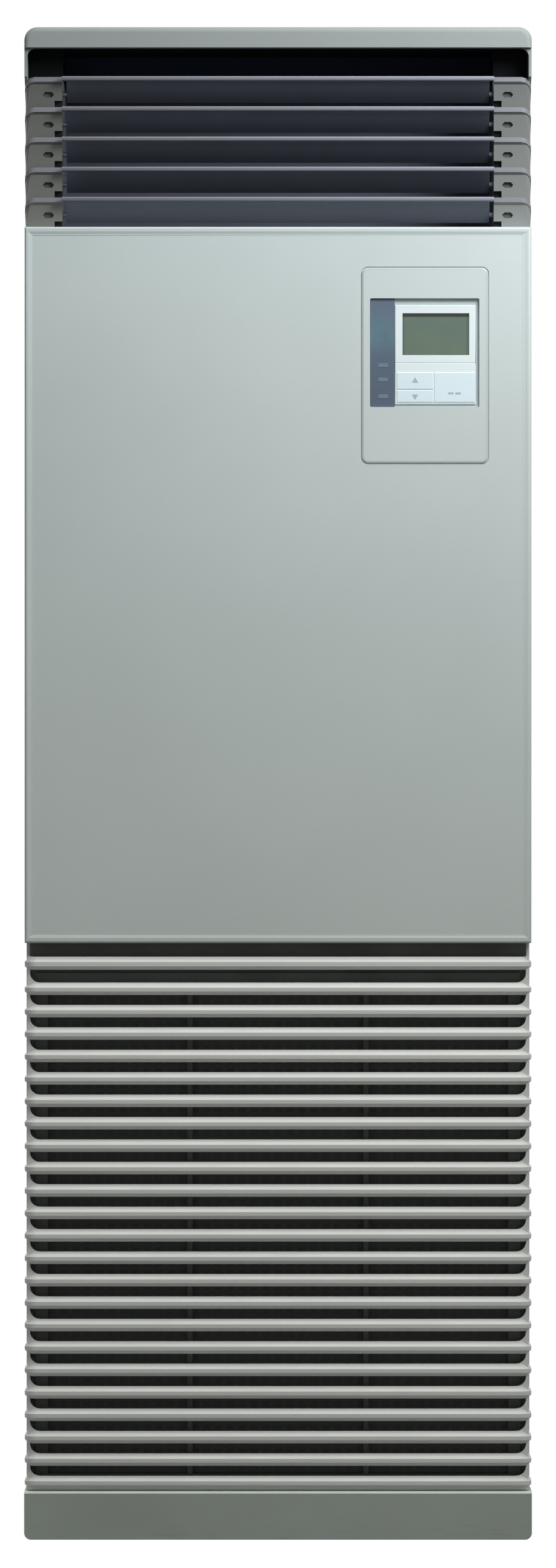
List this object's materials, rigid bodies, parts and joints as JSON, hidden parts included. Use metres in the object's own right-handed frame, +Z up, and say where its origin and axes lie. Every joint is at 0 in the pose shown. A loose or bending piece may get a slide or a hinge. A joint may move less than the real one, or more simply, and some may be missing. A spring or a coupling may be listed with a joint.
{
  "type": "floor-standing air conditioner indoor unit",
  "caption": "Tall slim floor-standing split air conditioner indoor unit with tilting outlet louvers, a flush wired controller and a slatted inlet grille.",
  "frame": {"origin": "middle of the footprint, on the floor", "axes": "+Z up, front faces -Y, +X to the right seen from the front"},
  "size_m": [0.59, 0.21, 1.75],
  "materials": {
    "pale_steel": "satin pale grey paint on sheet steel",
    "pale_plastic": "fine-textured pale grey moulding",
    "cap_plastic": "fine-textured mid grey moulding",
    "cheek_plastic": "fine-textured darker grey moulding",
    "lip_plastic": "smooth grey moulding",
    "base_paint": "satin mid grey paint",
    "blade_plastic": "slate moulding",
    "duct_black": "black lined duct",
    "filter_black": "black filter frame and net",
    "coil_fins": "bare fins",
    "controller_slate": "slate moulding",
    "controller_white": "white moulding",
    "key_grey": "pale key",
    "display_film": "grey-green liquid crystal window"
  },
  "bodies": {
    "cabinet": {"base_pan": "base_paint", "left_side_panel": "pale_steel", "right_side_panel": "pale_steel", "back_panel": "pale_steel", "front_panel": "pale_steel", "top_cap": "cap_plastic", "outlet_cheek_left": "cheek_plastic", "outlet_cheek_right": "cheek_plastic", "inlet_grille": "pale_plastic", "control_cover": "pale_plastic", "duct_ceiling": "duct_black", "duct_side_left": "duct_black", "duct_side_right": "duct_black", "duct_scoop": "duct_black", "duct_sill": "duct_black", "middle_rail": "filter_black", "cooling_coil": "coil_fins", "filter_frame": "filter_black", "filter_net": "filter_black", "controller_carrier": "controller_slate", "controller_face": "controller_white", "controller_display": "display_film", "key_upper": "key_grey", "key_lower": "key_grey", "key_main": "key_grey"},
    "louver_1": {"louver_blade_1": "blade_plastic", "louver_lip_1": "lip_plastic"},
    "louver_2": {"louver_blade_2": "blade_plastic", "louver_lip_2": "lip_plastic"},
    "louver_3": {"louver_blade_3": "blade_plastic", "louver_lip_3": "lip_plastic"},
    "louver_4": {"louver_blade_4": "blade_plastic", "louver_lip_4": "lip_plastic"},
    "louver_5": {"louver_blade_5": "blade_plastic", "louver_lip_5": "lip_plastic"}
  },
  "joints": [
    {"name": "louver_1_tilt", "type": "hinge", "parent": "cabinet", "child": "louver_1", "pos_m": [0, -0.077, 1.6745], "axis": [1, 0, 0], "range_deg": [0, 30]},
    {"name": "louver_2_tilt", "type": "hinge", "parent": "cabinet", "child": "louver_2", "pos_m": [0, -0.077, 1.6396], "axis": [1, 0, 0], "range_deg": [0, 30]},
    {"name": "louver_3_tilt", "type": "hinge", "parent": "cabinet", "child": "louver_3", "pos_m": [0, -0.077, 1.6047], "axis": [1, 0, 0], "range_deg": [0, 30]},
    {"name": "louver_4_tilt", "type": "hinge", "parent": "cabinet", "child": "louver_4", "pos_m": [0, -0.077, 1.5698], "axis": [1, 0, 0], "range_deg": [0, 30]},
    {"name": "louver_5_tilt", "type": "hinge", "parent": "cabinet", "child": "louver_5", "pos_m": [0, -0.077, 1.5349], "axis": [1, 0, 0], "range_deg": [0, 30]}
  ]
}
